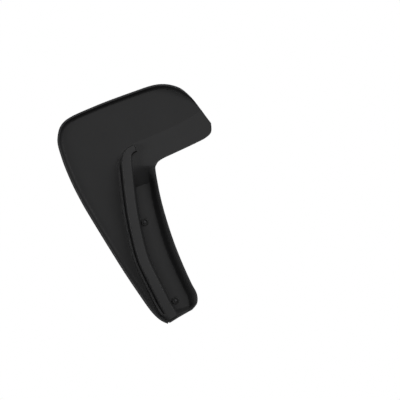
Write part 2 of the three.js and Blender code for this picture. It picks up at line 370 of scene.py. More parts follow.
class GeometryGraph(NodeGraph):
    """A Geometry Nodes tree while it is being made."""

    def __init__(self, name: str) -> None:
        """Start a tree called `name` that takes a mesh and gives one back."""
        super().__init__(bpy.data.node_groups.new(name, "GeometryNodeTree"))
        for way in ("INPUT", "OUTPUT"):
            self.tree.interface.new_socket("Geometry", in_out=way, socket_type="NodeSocketGeometry")
        self.entry = self.tree.nodes.new("NodeGroupInput")

    def source(self) -> Value:
        """Return the mesh that the tree is run on."""
        return Value(self, self.entry.outputs["Geometry"])

    def input(self, name: str, kind: str) -> Value:
        """Add a named input of socket type `kind` and return it."""
        self.tree.interface.new_socket(name, in_out="INPUT", socket_type=kind)
        return Value(self, self.entry.outputs[name])

    def shape_of(self, thing: Value) -> Value:
        """Return the geometry of an object input."""
        return self.node("GeometryNodeObjectInfo", None, {"Object": thing}, "Geometry")

    def grid(self, rows: Value, columns: Value) -> tuple[Value, Value, Value]:
        """Add a grid whose points are placed later.

        Args:
            rows: how many rows of points it has.
            columns: how many points a row has.

        Returns:
            The grid, and the row and the column of each of its points.
        """
        sizes = {"Vertices X": rows, "Vertices Y": columns}
        mesh = self.node("GeometryNodeMeshGrid", None, sizes, "Mesh")
        index = self.node("GeometryNodeInputIndex")
        row = self.maths("FLOOR", self.maths("DIVIDE", index + 0.5, columns))
        return mesh, row, self.maths("FLOORED_MODULO", index, columns)

    def sample(self, geometry: Value, value: Value, index: Value, kind: str = "FLOAT") -> Value:
        """Read a value off another geometry.

        Args:
            geometry: where to read.
            value: what to read there.
            index: the point's number.
            kind: the value's data type.

        Returns:
            The value at that point.
        """
        settings = {"data_type": kind, "domain": "POINT", "clamp": True}
        inputs = {"Geometry": geometry, "Value": value, "Index": index}
        return self.node("GeometryNodeSampleIndex", settings, inputs)

    def attribute(self, name: str, kind: str = "FLOAT") -> Value:
        """Return the named attribute."""
        return self.node("GeometryNodeInputNamedAttribute", {"data_type": kind}, {"Name": name})

    def moved(self, geometry: Value, inputs: dict[object, object]) -> Value:
        """Return `geometry` with its points at a Position or shifted by an Offset."""
        return self.node("GeometryNodeSetPosition", None, {"Geometry": geometry} | inputs)

    def welded(self, geometry: Value, distance: float) -> Value:
        """Return `geometry` with its points merged that lie within `distance`."""
        inputs = {"Geometry": geometry, "Distance": distance}
        return self.node("GeometryNodeMergeByDistance", None, inputs)

    def realized(self, geometry: Value) -> Value:
        """Return `geometry` with its instances made real."""
        return self.node("GeometryNodeRealizeInstances", None, {"Geometry": geometry})

    def finish(self, geometry: Value, material: Value) -> bpy.types.NodeTree:
        """End the tree in Realize Instances and Set Material.

        Args:
            geometry: what the tree gives back.
            material: what all of it wears.

        Returns:
            The finished tree.
        """
        inputs = {"Geometry": self.realized(geometry), "Material": material}
        self.end("NodeGroupOutput", self.node("GeometryNodeSetMaterial", None, inputs))
        return self.tree


def sweep_tree() -> bpy.types.NodeTree:
    """Make the tree that carries a profile along a rail.

    The rail is the modifier's own mesh: a row of points with the attributes `across`, the way in
    which the profile's x runs, `foot`, the y at which the profile stands, and `rise`, the length
    of one unit of the profile's y.

    Returns:
        The tree, with inputs Profile, Rail points, Profile points and Material.
    """
    graph = GeometryGraph("sweep_profile_along_rail")
    profile = graph.shape_of(graph.input("Profile", "NodeSocketObject"))
    rail_points = graph.input("Rail points", "NodeSocketInt")
    profile_points = graph.input("Profile points", "NodeSocketInt")
    material = graph.input("Material", "NodeSocketMaterial")
    rail = graph.source()
    grid, row, column = graph.grid(rail_points, profile_points)
    position = graph.node("GeometryNodeInputPosition")
    corner = graph.sample(profile, position, column, "FLOAT_VECTOR")
    parts = {name: graph.node("ShaderNodeSeparateXYZ", None, {0: corner}, name) for name in "XY"}
    across = graph.sample(rail, graph.attribute("across", "FLOAT_VECTOR"), row, "FLOAT_VECTOR")
    foot = graph.sample(rail, graph.attribute("foot"), row)
    rise = graph.sample(rail, graph.attribute("rise"), row)
    upward = graph.node("ShaderNodeCombineXYZ", None, {"Y": foot + parts["Y"] * rise})
    start = graph.sample(rail, position, row, "FLOAT_VECTOR")
    beside = graph.vector("ADD", start, graph.scaled(across, parts["X"]))
    shaped = graph.moved(grid, {"Position": graph.vector("ADD", beside, upward)})
    return graph.finish(graph.welded(shaped, 2 * WELD), material)


def loft_tree() -> bpy.types.NodeTree:
    """Make the tree that rounds the corners of a run of cross-sections and lofts them.

    The cross-sections are the modifier's own mesh: ring after ring of corner points, each with
    the attributes `radius`, `edge` and `tone`. The points of Samples say what a ring is drawn
    through: `corner`, the corner's number, and `share`, the way round its rounding. Each
    rounding is a quadratic Bezier curve between the two flanks of its corner.

    Returns:
        The tree, with inputs Samples, Rings, Ring corners, Ring samples and Material.
    """
    graph = GeometryGraph("loft_rounded_sections")
    samples = graph.shape_of(graph.input("Samples", "NodeSocketObject"))
    rings = graph.input("Rings", "NodeSocketInt")
    ring_corners = graph.input("Ring corners", "NodeSocketInt")
    ring_samples = graph.input("Ring samples", "NodeSocketInt")
    material = graph.input("Material", "NodeSocketMaterial")
    corners = graph.source()
    lofted, row, column = graph.grid(rings, ring_samples + 1)
    column = graph.maths("FLOORED_MODULO", column, ring_samples)
    corner = graph.sample(samples, graph.attribute("corner"), column)
    share = graph.sample(samples, graph.attribute("share"), column)
    rest = 1 - share
    first = row * ring_corners
    here = first + corner
    before = first + graph.maths("FLOORED_MODULO", corner - 1, ring_corners)
    after = first + graph.maths("FLOORED_MODULO", corner + 1, ring_corners)
    position = graph.node("GeometryNodeInputPosition")
    place = graph.sample(corners, position, here, "FLOAT_VECTOR")
    radius = graph.sample(corners, graph.attribute("radius"), here)

    def flank(neighbour: Value) -> Value:
        """Work out where the rounding leaves the side towards a neighbouring corner.

        Args:
            neighbour: that corner's number in the whole run.

        Returns:
            The point on the side.
        """
        end = graph.sample(corners, position, neighbour, "FLOAT_VECTOR")
        side = graph.vector("SUBTRACT", end, place)
        length = graph.node("ShaderNodeVectorMath", {"operation": "LENGTH"}, {0: side}, "Value")
        reach = graph.maths("MINIMUM", radius, length * SIDE_SHARE)
        return graph.vector("ADD", place, graph.scaled(graph.vector("NORMALIZE", side), reach))

    leaving = graph.scaled(flank(before), rest * rest)
    rounded = graph.vector("ADD", leaving, graph.scaled(place, rest * share * 2))
    rounded = graph.vector("ADD", rounded, graph.scaled(flank(after), share * share))
    lofted = graph.moved(lofted, {"Position": rounded})
    edge = graph.sample(corners, graph.attribute("edge"), here) * (rest * share * 4)
    # painted light and shade, carried from each ring's corners
    tone = graph.sample(corners, graph.attribute("tone"), here)
    for name, value in (("edge", edge), ("tone", tone)):
        lofted = graph.node(
            "GeometryNodeStoreNamedAttribute", {"data_type": "FLOAT", "domain": "POINT"},
            {"Geometry": lofted, "Name": name, "Value": value})
    return graph.finish(graph.welded(lofted, WELD), material)


def slit_tree() -> bpy.types.NodeTree:
    """Make the tree that saws crossing slits into a turned shank, from its rear end.

    Returns:
        The tree, with inputs Slits, Width, Span, Start, Depth, Centre and Material.
    """
    graph = GeometryGraph("saw_slits_in_shank")
    slits = graph.input("Slits", "NodeSocketInt")
    width, span, start, depth = (
        graph.input(name, "NodeSocketFloat") for name in ("Width", "Span", "Start", "Depth"))
    centre = graph.input("Centre", "NodeSocketVector")
    material = graph.input("Material", "NodeSocketMaterial")
    size = graph.node("ShaderNodeCombineXYZ", None, {"X": width, "Y": depth, "Z": span})
    blade = graph.node("GeometryNodeMeshCube", None, {"Size": size}, "Mesh")
    row = graph.node(
        "GeometryNodeMeshLine", {"mode": "OFFSET"}, {"Count": slits, "Offset": (0.0, 0.0, 0.0)}, "Mesh")
    turn = graph.node("GeometryNodeInputIndex") * math.pi
    angle = graph.maths("DIVIDE", turn, slits) + math.pi / 4
    rotation = graph.node("ShaderNodeCombineXYZ", None, {"Y": angle})
    cutters = graph.node(
        "GeometryNodeInstanceOnPoints", None, {"Points": row, "Instance": blade, "Rotation": rotation},
        "Instances")
    middle = graph.node("ShaderNodeCombineXYZ", None, {"Y": start + depth * 0.5})
    placed = graph.moved(graph.realized(cutters), {"Offset": graph.vector("ADD", middle, centre)})
    sawn = graph.node(
        "GeometryNodeMeshBoolean", {"operation": "DIFFERENCE", "solver": "EXACT"},
        {"Mesh 1": graph.source(), "Mesh 2": placed}, "Mesh")
    return graph.finish(sawn, material)


# ------------------------------------------------------------------------------ mesh helpers


def applied(source: bpy.types.Object, modifier: bpy.types.Modifier) -> bpy.types.Mesh:
    """Take a modifier's result and the modifier off an object.

    Args:
        source: the object that carries the modifier.
        modifier: the modifier, with its values set.

    Returns:
        The result as a mesh of its own.
    """
    source.update_tag()
    depsgraph = bpy.context.evaluated_depsgraph_get()
    mesh = bpy.data.meshes.new_from_object(source.evaluated_get(depsgraph), depsgraph=depsgraph)
    source.modifiers.remove(modifier)
    return mesh


def run_tree(
    source: bpy.types.Object, tree: bpy.types.NodeTree, values: dict[str, object],
) -> bpy.types.Mesh:
    """Run a geometry tree on an object.

    Args:
        source: the object that carries the modifier while it runs.
        tree: the tree to run.
        values: input name to value.

    Returns:
        The result as a mesh of its own; the modifier is gone again.
    """
    modifier = source.modifiers.new(tree.name, "NODES")
    modifier.node_group = tree
    for item in tree.interface.items_tree:
        if item.in_out == "INPUT" and item.name in values:
            modifier[item.identifier] = values[item.name]
    return applied(source, modifier)


def link_mesh(name: str, mesh: bpy.types.Mesh) -> bpy.types.Object:
    """Put a mesh into the scene.

    Args:
        name: the new object's name.
        mesh: what it shows.

    Returns:
        The new object.
    """
    made = bpy.data.objects.new(name, mesh)
    bpy.context.scene.collection.objects.link(made)
    return made


def tidy_mesh(mesh: bpy.types.Mesh, merge: float = WELD, sharp_degrees: float = 32.0) -> None:
    """Weld doubles, drop faces without area, face everything outwards and shade by angle.

    Args:
        mesh: the mesh to tidy.
        merge: points nearer than this are one, in metres.
        sharp_degrees: a bend of this much or more stays sharp in the shading.
    """
    work = bmesh.new()
    work.from_mesh(mesh)
    bmesh.ops.remove_doubles(work, verts=work.verts, dist=merge)
    bmesh.ops.dissolve_degenerate(work, edges=work.edges, dist=merge)
    bmesh.ops.recalc_face_normals(work, faces=work.faces)
    if work.calc_volume(signed=True) < 0:
        bmesh.ops.reverse_faces(work, faces=work.faces)
    for face in work.faces:
        face.smooth = True
    for edge in work.edges:
        edge.smooth = edge.calc_face_angle(0.0) < math.radians(sharp_degrees)
    work.to_mesh(mesh)
    work.free()


def point_row(
    name: str, points: list[Vector], extra: dict[str, tuple[str, list]] | None = None,
) -> bpy.types.Object:
    """Make an object that holds a row of points.

    Args:
        name: the object's name.
        points: the places, in metres.
        extra: attribute name to (data type, values), one value for each point.

    Returns:
        The object.
    """
    mesh = bpy.data.meshes.new(name)
    mesh.from_pydata([tuple(point) for point in points], [], [])
    for key, (kind, values) in (extra or {}).items():
        attribute = mesh.attributes.new(key, kind, "POINT")
        for slot, value in zip(attribute.data, values):
            if kind == "FLOAT_VECTOR":
                slot.vector = value
            else:
                slot.value = value
    return link_mesh(name, mesh)


def store_painted_shading(mesh: bpy.types.Mesh, rule: Callable[[Vector], float]) -> None:
    """Store what `rule` says of each vertex, placed in millimetres, as the mesh's painted light and
    shade.
    """
    attribute = mesh.attributes.new("tone", "FLOAT", "POINT")
    attribute.data.foreach_set("value", [rule(vertex.co / MM) for vertex in mesh.vertices])


def discard(*objects: bpy.types.Object) -> None:
    """Remove helper objects."""
    for item in objects:
        bpy.data.objects.remove(item)


# ------------------------------------------------------------------------------ the moulding


class PaintedShading(Enum):
    """Painted light and shade on a grained plastic: 0 is its finish's dark colour, 1 its light one; lit
    faces lighter, shaded ones darker.
    """

    # painted highlight on the ridge's top and the rim's lip
    RIDGE_HIGHLIGHT = 0.86
    FLOOR = 0.74
    FLANGE = 0.72
    FIELD = 0.52
    REAR = 0.6
    SHADED = 0.22
    NYLON = 1.0
    # painted shade inside a rivet's recess and below its pin's dome
    RECESS_SHADE = 0.02


@dataclass
class Corner:
    """One corner of a cross-section, which the loft rounds.

    The radius is in millimetres, `edge` says how rubbed it is, which lightens it as wear and as a
    painted highlight, and `steps` is how many points its rounding gets.
    """

    place: Vector
    radius: float
    edge: float
    steps: int
    # painted light and shade on the front corner; the rear keeps one even level
    tone: float = PaintedShading.REAR.value


@dataclass(frozen=True)
class Rail:
    """A smooth curve in the X-Z plane through one point for each station of the band."""

    points: tuple[Vector, ...]

    @property
    def last(self) -> int:
        """The last station's number."""
        return len(self.points) - 1

    def at(self, u: float) -> Vector:
        """Find a point on a Catmull-Rom curve through the stations.

        Args:
            u: place along the band, counted in stations.

        Returns:
            The point's x and z.
        """
        left = min(int(u), self.last)
        share = u - left
        a, b, c, d = (self.points[min(max(left + step, 0), self.last)] for step in (-1, 0, 1, 2))
        leave = (c - a) / 2
        arrive = (d - b) / 2
        cubic = (2 * b - 2 * c + leave + arrive) * share**3
        square = (-3 * b + 3 * c - 2 * leave - arrive) * share**2
        return cubic + square + leave * share + b

    def beside(self, u: float, side: float) -> Vector:
        """Find a point beside the rail.

        Args:
            u: place along the band.
            side: how far to the left of the way the rail runs, in millimetres.

        Returns:
            The point's x and z.
        """
        reach = 0.0001 * self.last
        along = (self.at(min(u + reach, self.last)) - self.at(max(u - reach, 0))).normalized()
        return self.at(u) + Vector((-along.y, along.x)) * side


@dataclass
class Moulding:
    """The one-piece flap: arm with channel, ridge with slot, flange, blade and rim.

    A place along the band, called u, counts stations from the arm's tip to the inboard toe. Two
    places together are a stretch over which something changes. Four are a rise over the first two
    and a fall over the last two.
    """

    wall: float = 3.0
    stations: tuple[tuple[float, ...], ...] = (
        (-27.5, 113.4, 10.5, 119.2, 27.9, 122.2),
        (-41.6, 104, 14, 102.5, 40.6, 107.3),
        (-47.3, 86.1, 18.3, 83, 51, 84.2),
        (-44.3, 61.9, 21.3, 56, 61.4, 46.1),
        (-41.5, 25.9, 25, 24, 71.6, 5.2),
        (-39.8, -20, 28.2, -14, 80.9, -36.8),
        (-40.9, -68, 25.2, -55, 89.4, -77.8),
        (-44.2, -112, 18.2, -104, 97.9, -119.8),
        (-49.3, -147.8, 8.8, -149, 105.9, -162.8),
        (-55.2, -177.6, -0.5, -187, 111.9, -212),
        (-59.5, -184.4, -7.5, -213, 113.3, -262),
        (-66, -189.3, -16, -226, 107.8, -301.2),
        (-77.2, -192, -31, -230.5, 82.6, -328.9),
        (-100.2, -194.1, -60, -232, 22.1, -336.2),
        (-125.1, -196.2, -98, -234, -58, -337.4),
        (-149.1, -198.5, -130, -236.5, -116.2, -334.6),
        (-170.2, -201.4, -153, -240, -151.8, -316.9),
        (-184.8, -208.4, -170, -243.4, -170.4, -289.7),
        (-191.1, -225.3, -184.6, -247.4, -181.8, -256.8),
    )
    lip_shares: tuple[float, float] = (0.06, 0.1)      # inner lip, from inner edge to ridge
    lip_y: float = -15.0                               # front of the inner lip
    lip_step: float = 1.8                              # its height beside the channel
    lip_bend: tuple[float, float, float] = (0.5, 0.8, 1.0)     # what its rear adds to the wall
    channel_fall: tuple[tuple[float, float], ...] = ((0.2, 0.3), (0.32, 0.85), (0.4, 1), (0.7, 1))
    channel_rounding: tuple[float, ...] = (5, 6, 4, 0)
    step_start: float = 0.42                           # the channel starts in a step at the tip
    step_end: float = 0.95
    ramp_foot: float = 8.25                            # and ends in a crowned ramp
    ramp_top: float = 9.6
    notch_edge_y: float = -27.0                        # front of the flange at the notch
    notch_climb: tuple[float, float] = (6.5, 10)
    field_y: float = -23.0                             # front of the blade
    tip_lip: tuple[float, float] = (0.24, 0.42)        # the lip that closes the arm's end
    tip_lip_y: float = -25.5
    tip_lip_rise: tuple[float, float] = (0.05, 0.6)    # over these shares of the arm's width
    tip_wall: float = 2.4
    ridge_tip_half: float = 8.0
    ridge_half: float = 10.5                           # half the ridge's width at its foot
    ridge_wide: float = 1.4                            # its full width starts here
    ridge_draft: float = 1.2                           # its sides lean in by this much
    ridge_crown: float = 0.6
    ridge_tip_y: float = -27.0
    ridge_top_y: float = -41.0
    ridge_climb: tuple[float, float] = (-1, 6)
    ridge_hook_y: float = -34.0                        # top of its hooked end
    hook_fall: tuple[float, float] = (8, 12)
    hook_taper: float = 2.8
    hook_narrows: tuple[float, float] = (9.5, 12)
    hook_end: float = 12.08
    hook_face: float = 0.09                            # how far the end face leans
    slot_end: tuple[float, float] = (11.84, 11.96)     # the slot behind closes between these
    slot_corner_y: float = -26.0
    gap: float = 2.6                                   # bottom of the gap beside the ridge
    gap_rise: float = 1.5
    rib_start: float = 4.6
    rib_stop: float = 7.8
    rib_foot: float = 9.8
    rib_rise: float = 5.5
    rib_closed: float = 0.25                           # its zone's width beyond the hook
    rib_run: tuple[float, ...] = (0.3, 1.1, 9, 10.4)
    rib_spread: tuple[float, ...] = (-0.6, 1, 9.4, 11.6)
    shoulder: tuple[float, float] = (0.9, 1.5)         # nearer the tip the ridge slopes to the blade
    slot_corner: float = -2.0                          # rear places, outwards from the ridge's foot
    wing_start: float = 1.0
    wing_stop: float = 4.0
    wing_edge_y: float = -17.5                         # rounded edge beside the slot, at the rear
    wing_dip: float = 1.0                              # its start lies this far in front of it
    wing_heel: float = 1.8                             # and its foot on the blade this far
    wing_run: tuple[float, ...] = (0, 0.6, 10, 11.6)
    bead_rise: float = 1.4                             # it runs on as a low bead
    bead_run: tuple[float, ...] = (10, 11.6, 15, 18)
    shade_lifts: tuple[float, float] = (7, 11)         # painted shade on the field beside the rib lifts over this stretch
    blade_shares: tuple[float, ...] = (0.15, 0.4, 0.75)
    rim_foot: float = 9.0                              # width of the rim's inner wall and lip
    rim_lip: float = 3.6
    rim_rise: float = 9.0
    rim_bend: tuple[float, float] = (1.6, 0.55)        # inside the lip; share of the rise there
    rim_rear: tuple[float, float] = (2.2, 1.4)         # rear corners, inside the lip
    rim_edge: float = 0.6                              # how far the outer edge laps the rear
    rim_at_tip: float = 0.65                           # its size there
    rim_grows: tuple[float, float] = (0, 2)
    rim_fades: tuple[float, float] = (16, 18)          # to almost nothing at the toe
    rim_faded: float = 0.03
    rear_step: float = 1.2                             # on the rear, beside the blade's lower edge
    rear_flat: float = 0.4
    rear_run: tuple[float, ...] = (10.5, 12, 15.5, 17)
    rivet_holes: tuple[tuple[float, float], ...] = ((-2.0, 85.0), (2.0, -85.0))
    hole_radius: float = 5.7
    hole_chamfer: float = 1.0
    closing: float = 0.6                               # fullness at the band's very ends
    front: list[Corner] = field(default_factory=list)
    rear: list[Corner] = field(default_factory=list)

    def __post_init__(self) -> None:
        """Lay the three rails through the stations."""
        columns = [tuple(Vector(row[at:at + 2]) for row in self.stations) for at in (0, 2, 4)]
        self.inner, self.spine, self.outer = (Rail(column) for column in columns)
        self.last = self.spine.last

    def crest(self, u: float) -> float:
        """Return the y of the ridge's top at `u`."""
        arm = lerp(self.ridge_tip_y, self.ridge_top_y, smoothstep(u, *self.ridge_climb))
        return lerp(arm, self.ridge_hook_y, smoothstep(u, *self.hook_fall))

    def half(self, u: float) -> float:
        """Return half the ridge's width at its foot, at `u`."""
        arm = lerp(self.ridge_tip_half, self.ridge_half, smoothstep(u, 0, self.ridge_wide))
        return arm - self.hook_taper * smoothstep(u, *self.hook_narrows)

    def lay(
        self,
        point: Vector,
        front_y: float,
        rear_point: Vector,
        rear_y: float,
        radius: tuple[float, float],
        edge: tuple[float, float] = (0.0, 0.0),
        steps: int = 5,
        tone: float = PaintedShading.FLANGE.value,
    ) -> None:
        """Add a corner to the front and its partner to the rear.

        Args:
            point: x and z on the front.
            front_y: y on the front.
            rear_point: x and z on the rear.
            rear_y: y on the rear.
            radius: rounding of the front and of the rear corner.
            edge: how much a hand or a mould edge rubs each corner; it lightens the corner as wear and as
                a painted highlight.
            steps: points that each rounding gets.
            tone: painted light and shade on the front, 0 to 1.
        """
        front_y = lerp(front_y, self.end_lip_y(point), self.end_lip)
        rear_y = lerp(rear_y, max(rear_y, front_y + self.tip_wall), self.end_lip)
        self.front.append(Corner(Vector((point.x, front_y, point.y)), radius[0], edge[0], steps, tone))
        self.rear.append(Corner(Vector((rear_point.x, rear_y, rear_point.y)), radius[1], edge[1], steps))

    def sunk(self, u: float) -> float:
        """Return how far the channel is sunk at `u`: a step at the tip, a crowned ramp below."""
        ramp = min(max((self.ramp_top - u) / (self.ramp_top - self.ramp_foot), 0.0), 1.0)
        return smoothstep(u, self.step_start, self.step_end) * ramp**2

    def end_lip_y(self, point: Vector) -> float:
        """Find the front of the lip that closes the arm's end.

        Args:
            point: x and z of a place near the tip.

        Returns:
            The lip's y there.
        """
        tip = self.inner.at(0), self.outer.at(0)
        across = (point - tip[0]).length
        share = across / (across + (point - tip[1]).length)
        return lerp(self.lip_y, self.tip_lip_y, smoothstep(share, *self.tip_lip_rise))

    def section(self, u: float) -> None:
        """Lay a cross-section into `front` and `rear`, from inner to outer edge.

        Args:
            u: place along the band.
        """
        self.front.clear()
        self.rear.clear()
        channel = self.sunk(u)
        self.end_lip = 1 - smoothstep(u, *self.tip_lip)
        ridge = 1 - smoothstep(u, self.hook_end - self.hook_face, self.hook_end)
        slot = 1 - smoothstep(u, *self.slot_end)
        rib = run(u, *self.rib_run)
        spread = lerp(self.rib_closed, 1, run(u, *self.rib_spread))
        rim = lerp(self.rim_at_tip, 1, smoothstep(u, *self.rim_grows))
        rim *= lerp(1, self.rim_faded, smoothstep(u, *self.rim_fades))
        half = self.half(u)
        crest = self.crest(u)
        lip_y = lerp(self.lip_y, self.notch_edge_y, smoothstep(u, *self.notch_climb))
        inner = self.inner.at(u)
        foot = self.spine.beside(u, -half)
        crease = self.spine.beside(u, half + self.rib_foot * spread)
        rim_foot = self.outer.beside(u, -self.rim_foot * rim)
        outer = self.outer.at(u)
        wall = self.wall

        def flange_y(point: Vector) -> float:
            """Return the flange's own front at `point`."""
            inwards = (point - inner).length
            return lerp(lip_y, self.field_y, inwards / (inwards + (point - crease).length))

        # Inner lip, sloping wall and floor of the channel.
        edge_rear, lip_rear, foot_rear = (lip_y + wall + bend for bend in self.lip_bend)
        self.lay(inner, lip_y, inner, edge_rear, (0.9, 1.1), (1, 0.6))
        lip, lip_foot = (inner.lerp(foot, share) for share in self.lip_shares)
        self.lay(lip, lip_y, lip, lip_rear, (1.0, 2.0), (1, 0))
        lip_foot_y = lerp(flange_y(lip_foot), lip_y + self.lip_step, channel)
        self.lay(lip_foot, lip_foot_y, lip_foot, foot_rear, (1.4, 3.0))
        # Painted shade on the channel's sunk wall; the floor gets its own painted light level.
        wall_painted_shade = lerp(PaintedShading.FLANGE.value, PaintedShading.SHADED.value, channel)
        for (share, depth), radius in zip(self.channel_fall, self.channel_rounding):
            point = inner.lerp(foot, share)
            floor_y = lerp(lip_y + self.lip_step, -wall, depth)
            front_y = lerp(flange_y(point), floor_y, channel)
            self.lay(point, front_y, point, front_y + wall, (radius, radius),
                     steps=5 if radius else 1, tone=wall_painted_shade if depth < 1 else PaintedShading.FLOOR.value)

        # The ridge and, behind it, the slot.
        def ridge_face(
            side: float, front_y: float, rear_side: float, rear_y: float,
            rise: float, cut: float, radius: tuple[float, float], edge: float = 0.0, steps: int = 5,
            tone: PaintedShading = PaintedShading.RIDGE_HIGHLIGHT,
        ) -> None:
            """Lay one corner of the ridge, or of the flange beyond the ridge's end.

            Args:
                side: how far off the ridge's middle the front corner lies.
                front_y: the ridge's own front.
                rear_side: how far off the middle the slot's corner lies.
                rear_y: the slot's own corner.
                rise: 1 where the ridge stands, 0 beyond it.
                cut: 1 where the slot is open, 0 beyond it.
                radius: rounding of the front and of the rear corner.
                edge: how rubbed the front corner is, lightened as wear and as a painted highlight.
                steps: points that each rounding gets.
                tone: painted light and shade on the ridge there.
            """
            base = flange_y(self.spine.beside(u, side))
            self.lay(
                self.spine.beside(u, side), lerp(base, front_y, rise),
                self.spine.beside(u, lerp(side, rear_side, cut)), lerp(base + wall, rear_y, cut),
                radius, (edge * rise, 0.6 * cut), steps, lerp(PaintedShading.FLANGE.value, tone.value, rise))

        top = half - self.ridge_draft
        # The ridge's side towards the channel gets painted shade, its top a painted highlight.
        ridge_face(-half, -wall, -half + wall, 0, channel, channel, (1.8, 1.5), tone=PaintedShading.SHADED)
        ridge_face(-top, crest, -top + wall, crest + wall, ridge, slot, (1.8, 1.2), 1)
        ridge_face(0, crest - self.ridge_crown, 0, crest + wall, ridge, slot, (4, 0), steps=3)
        ridge_face(top, crest, top - wall, crest + wall, ridge, slot, (1.8, 1.2), 1)

        # The gap and the thin rib beside the ridge, with the rounded edge of the slot behind.
        shoulder = smoothstep(u, *self.shoulder)
        wing = run(u, *self.wing_run)
        bead = self.bead_rise * run(u, *self.bead_run)

        def rib_face(
            width: float, rise: float, rear_width: float, rear_y: float, swell: float,
            radius: tuple[float, float], edge: tuple[float, float] = (0.0, 0.0),
            tone: float = PaintedShading.FLANGE.value,
        ) -> None:
            """Lay one corner of the rib's zone.

            Args:
                width: how far outside the ridge's foot the front corner lies.
                rise: how far it stands in front of the blade.
                rear_width: how far outside the ridge's foot the rear corner lies.
                rear_y: the rear corner beside the slot.
                swell: 1 on the bead beyond the slot, 0 beside it.
                radius: rounding of the front and of the rear corner.
                edge: how rubbed each corner is, lightened as wear and as a painted highlight.
                tone: painted light and shade on the front.
            """
            rear_side = half + lerp(width, rear_width, wing) * spread
            slope_y = lerp(crest, self.field_y, width / self.rib_foot)
            front_y = lerp(slope_y, self.field_y - rise * rib, shoulder)
            self.lay(
                self.spine.beside(u, half + width * spread), front_y,
                self.spine.beside(u, rear_side), lerp(self.field_y + wall + bead * swell, rear_y, wing),
                radius, (edge[0] * rib, edge[1]), tone=tone)

        # Painted shade in the gap beside the ridge and on the field at the rib's foot, which lifts
        # further along the arm.
        gap_painted_shade = lerp(PaintedShading.FLANGE.value, PaintedShading.SHADED.value, rib * shoulder)
        foot_painted_shade = lerp(PaintedShading.SHADED.value, PaintedShading.FIELD.value, smoothstep(u, *self.shade_lifts))
        slot_corner_y = max(self.slot_corner_y, crest + wall)
        dip_y = self.wing_edge_y - self.wing_dip
        heel_y = self.wing_edge_y - self.wing_heel
        rib_face(
            self.gap, self.gap_rise, self.slot_corner, slot_corner_y, 0, (1.0, 3.0), tone=gap_painted_shade)
        rib_face(self.rib_start, self.rib_rise, self.wing_start, dip_y, 1, (0.9, 2.2), (1, 0.8))
        rib_face(
            self.rib_stop, self.rib_rise, self.wing_stop, self.wing_edge_y, 1, (0.9, 2.2), (1, 0.8))
        rib_face(self.rib_foot, 0, self.rib_foot, heel_y, 0, (1.6, 4.0), tone=foot_painted_shade)

        # The blade, with painted shade fading out from the rib's foot, then its rim: painted shade on
        # its inner wall, a painted highlight on its lip and outer edge.
        for share in self.blade_shares:
            point = crease.lerp(rim_foot, share)
            tone = lerp(foot_painted_shade, PaintedShading.FIELD.value, smoothstep(share, 0, 0.8))
            self.lay(point, self.field_y, point, self.field_y + wall, (0, 0), steps=1, tone=tone)
        rim_y = self.field_y - self.rim_rise * rim
        step = lerp(self.rear_flat, self.rear_step, run(u, *self.rear_run))
        self.lay(
            rim_foot, self.field_y, rim_foot, self.field_y + wall, (2.0, 0), tone=PaintedShading.FIELD.value)
        bend, bend_rise = self.rim_bend
        bend_rear, lip_rear_point = (
            self.outer.beside(u, -(self.rim_lip + inside) * rim) for inside in self.rim_rear)
        self.lay(
            self.outer.beside(u, -(self.rim_lip + bend) * rim), lerp(self.field_y, rim_y, bend_rise),
            bend_rear, self.field_y + wall, (1.0, 0.4), (0, 0.5), tone=PaintedShading.SHADED.value)
        self.lay(
            self.outer.beside(u, -self.rim_lip * rim), rim_y,
            lip_rear_point, self.field_y + wall - step, (0.6, 0.5), (1, 0), tone=PaintedShading.RIDGE_HIGHLIGHT.value)
        self.lay(
            outer, rim_y, outer, self.field_y + self.rim_edge, (0.8, 1.6), (1, 0.6),
            tone=PaintedShading.RIDGE_HIGHLIGHT.value)

    def ring(self, u: float, fullness: float) -> list[Corner]:
        """Make the corners of the closed outline at a place.

        Args:
            u: place along the band.
            fullness: below 1 the two faces move together, which rounds and closes the band's end.

        Returns:
            The corners, front from inner to outer edge and then rear back again.
        """
        self.section(u)
        for near, far in zip(self.front, self.rear):
            middle = (near.place + far.place) / 2
            for corner in (near, far):
                corner.place = middle.lerp(corner.place, fullness)
                corner.radius *= min(fullness / self.closing, 1)
        return self.front + self.rear[::-1]

    def skin(self) -> bpy.types.Mesh:
        """Loft the rings into one closed shell with rounded ends.

        Returns:
            The shell, without its holes.
        """
        places = stretches([
            (0.05, 0), (1, 24), (3, 30), (8, 60), (11, 60), (11.8, 20), (12.16, 24), (13, 12), (17, 40),
            (self.last - 0.03, 24)])
        start = [(0.0, 0.0), (0.0, self.closing), (0.016, 0.88)]
        end = [(self.last - 0.01, 0.88), (self.last, self.closing), (self.last, 0.0)]
        rings = [self.ring(u, fullness) for u, fullness in start + [(u, 1.0) for u in places] + end]
        corners = [corner for ring in rings for corner in ring]
        samples = [
            (float(number), step / (corner.steps - 1) if corner.steps > 1 else 0.5)
            for number, corner in enumerate(rings[0]) for step in range(corner.steps)]
        corner_row = point_row("section_corners", [corner.place * MM for corner in corners], {
            "radius": ("FLOAT", [corner.radius * MM for corner in corners]),
            "edge": ("FLOAT", [corner.edge for corner in corners]),
            "tone": ("FLOAT", [corner.tone for corner in corners])})
        sample_row = point_row("section_samples", [Vector((*sample, 0)) for sample in samples], {
            "corner": ("FLOAT", [number for number, _ in samples]),
            "share": ("FLOAT", [share for _, share in samples])})
        mesh = run_tree(corner_row, loft_tree(), {
            "Samples": sample_row, "Rings": len(rings), "Ring corners": len(rings[0]),
            "Ring samples": len(samples), "Material": Finish.MOULDED.material()})
        discard(corner_row, sample_row)
        tidy_mesh(mesh)
        return mesh

